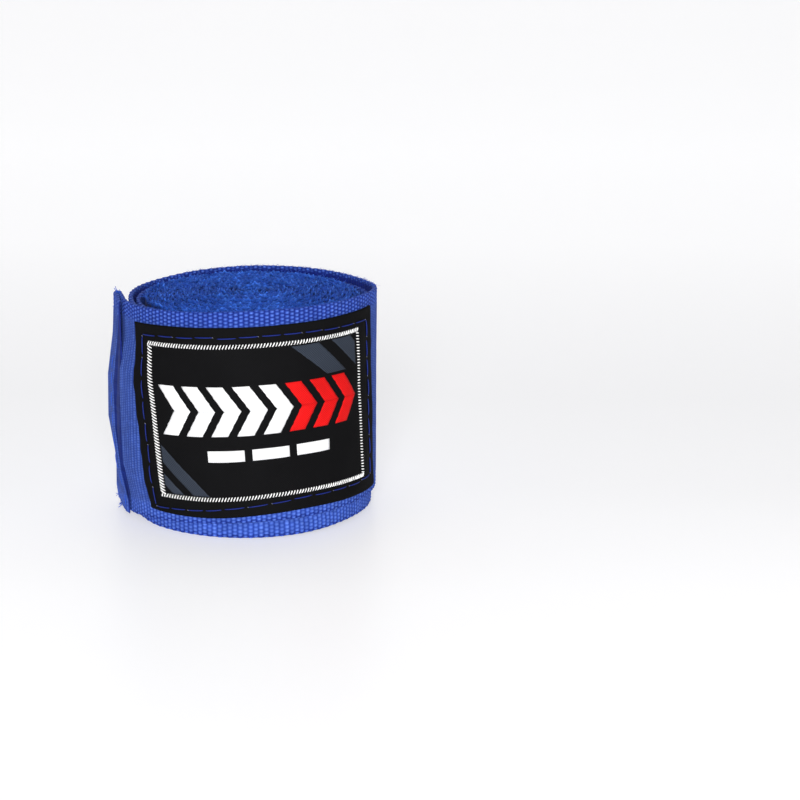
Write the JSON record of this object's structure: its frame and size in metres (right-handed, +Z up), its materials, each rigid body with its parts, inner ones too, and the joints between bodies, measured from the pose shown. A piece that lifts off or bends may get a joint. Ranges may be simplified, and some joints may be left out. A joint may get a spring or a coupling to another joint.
{
  "type": "hand wrap",
  "caption": "Rolled cotton hand wrap on its end: a ribbed band wound on its thumb loop, closed by a hook-and-loop flap that carries a sewn label.",
  "frame": {"origin": "on the axis of the wound core, at the level of the end that the roll stands on", "axes": "+Z up along the roll's axis, the label faces -Y, the free end of the band lies at -X"},
  "size_m": [0.0664, 0.0619, 0.0532],
  "materials": {
    "band_cotton": "ribbed royal blue cotton",
    "blue_thread": "twisted polyester sewing thread",
    "label_weave": "fine black woven patch",
    "white_thread": "white satin stitch",
    "hook_nylon": "moulded hooks on a woven base",
    "loop_nylon": "brushed light blue pile"
  },
  "bodies": {
    "roll": {"inner_turns": "band_cotton", "outer_turns": "band_cotton", "thumb_loop": "band_cotton", "thumb_loop_seam": "blue_thread", "loop_tape": "loop_nylon", "loop_tape_seam": "blue_thread"},
    "flap": {"closure_flap": "band_cotton", "label_patch": "label_weave", "label_border": "white_thread", "label_seam": "blue_thread", "hook_tape": "hook_nylon", "hook_tape_seam": "blue_thread"},
    "tab": {"pull_tab": "band_cotton", "hem_stitching": "blue_thread"}
  },
  "joints": [
    {"name": "flap_hinge", "type": "hinge", "parent": "roll", "child": "flap", "pos_m": [0.02993, -0.00538, 0.0282], "axis": [0, 0, 1], "range_deg": [0, 110]},
    {"name": "tab_hinge", "type": "hinge", "parent": "flap", "child": "tab", "pos_m": [-0.02909, -0.0121, 0.026], "axis": [0, 0, 1], "range_deg": [-8, 40]}
  ]
}
